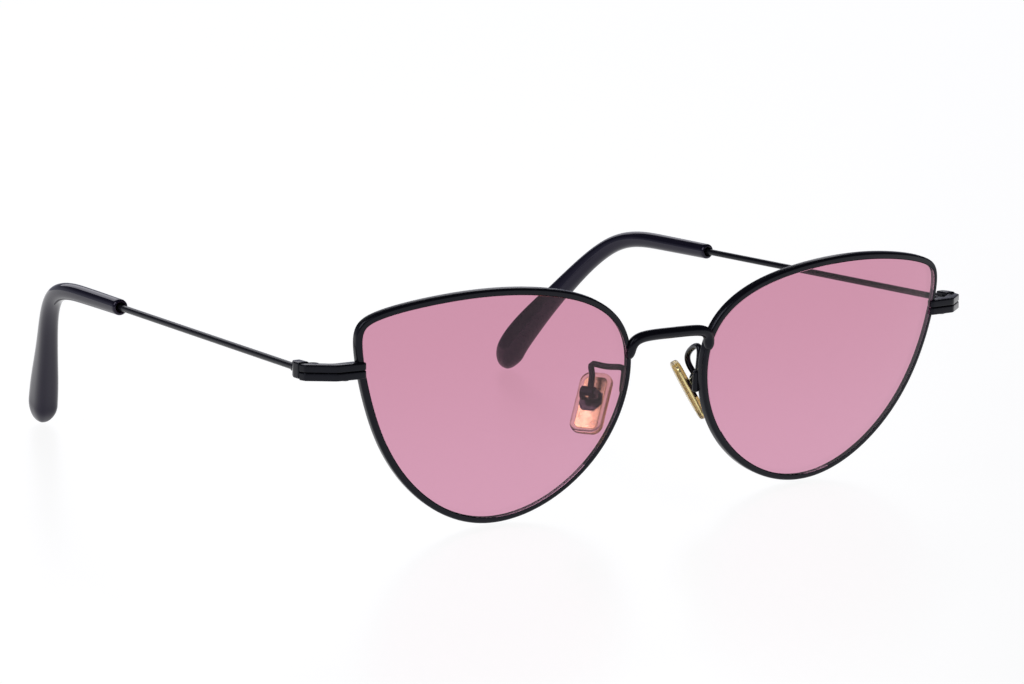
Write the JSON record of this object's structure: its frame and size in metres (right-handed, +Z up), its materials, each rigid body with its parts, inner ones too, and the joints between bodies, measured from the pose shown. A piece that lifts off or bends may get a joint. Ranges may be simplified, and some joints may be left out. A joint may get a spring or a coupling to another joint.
{
  "type": "cat eye sunglasses",
  "caption": "Wire frame cat eye sunglasses with tinted lenses, arched bridge, rocking nose pads and folding temples with moulded tips",
  "frame": {"origin": "centre of the bounding box in plan, on the surface that the open sunglasses rest on", "axes": "+Z up, +X towards the wearer's left, -Y out of the front of the lenses; the open temples run back along +Y"},
  "size_m": [0.1482, 0.1366, 0.0432],
  "materials": {
    "frame_black": "satin black coat over metal, blue-grey highlights",
    "screw_steel": "blackened steel screws with a single slot",
    "lens_tint": "polished, see-through rose tint, slightly darker at the upper outer corner",
    "tip_black": "polished black",
    "pad_insert_gold": "bright gold plate",
    "pad_silicone": "clear soft silicone with a faint warm cast"
  },
  "bodies": {
    "front": {"bridge": "frame_black", "eyewire_left": "frame_black", "lens_left": "lens_tint", "endpiece_upper_left": "frame_black", "endpiece_lower_left": "frame_black", "rim_lock_screw_left": "screw_steel", "hinge_front_leaf_left": "frame_black", "hinge_screw_left": "screw_steel", "pad_arm_left": "frame_black", "pad_box_left": "frame_black", "pad_screw_left": "screw_steel", "eyewire_right": "frame_black", "lens_right": "lens_tint", "endpiece_upper_right": "frame_black", "endpiece_lower_right": "frame_black", "rim_lock_screw_right": "screw_steel", "hinge_front_leaf_right": "frame_black", "hinge_screw_right": "screw_steel", "pad_arm_right": "frame_black", "pad_box_right": "frame_black", "pad_screw_right": "screw_steel"},
    "temple_left": {"hinge_temple_leaf_left": "frame_black", "temple_block_left": "frame_black", "temple_wire_left": "frame_black", "temple_tip_left": "tip_black"},
    "temple_right": {"hinge_temple_leaf_right": "frame_black", "temple_block_right": "frame_black", "temple_wire_right": "frame_black", "temple_tip_right": "tip_black"},
    "pad_left": {"nose_pad_left": "pad_silicone", "pad_core_left": "pad_insert_gold"},
    "pad_right": {"nose_pad_right": "pad_silicone", "pad_core_right": "pad_insert_gold"}
  },
  "joints": [
    {"name": "temple_fold_left", "type": "hinge", "parent": "front", "child": "temple_left", "pos_m": [0.0706, -0.05725, 0.0304], "axis": [0, 0, 1], "range_deg": [0, 83]},
    {"name": "temple_fold_right", "type": "hinge", "parent": "front", "child": "temple_right", "pos_m": [-0.0706, -0.05725, 0.0304], "axis": [0, 0, -1], "range_deg": [0, 75]},
    {"name": "pad_rock_left", "type": "hinge", "parent": "front", "child": "pad_left", "pos_m": [0.0126, -0.0571, 0.02065], "axis": [0.5, 0.866, 0], "range_deg": [-10, 10]},
    {"name": "pad_rock_right", "type": "hinge", "parent": "front", "child": "pad_right", "pos_m": [-0.0126, -0.0571, 0.02065], "axis": [-0.5, 0.866, 0], "range_deg": [-10, 10]}
  ]
}
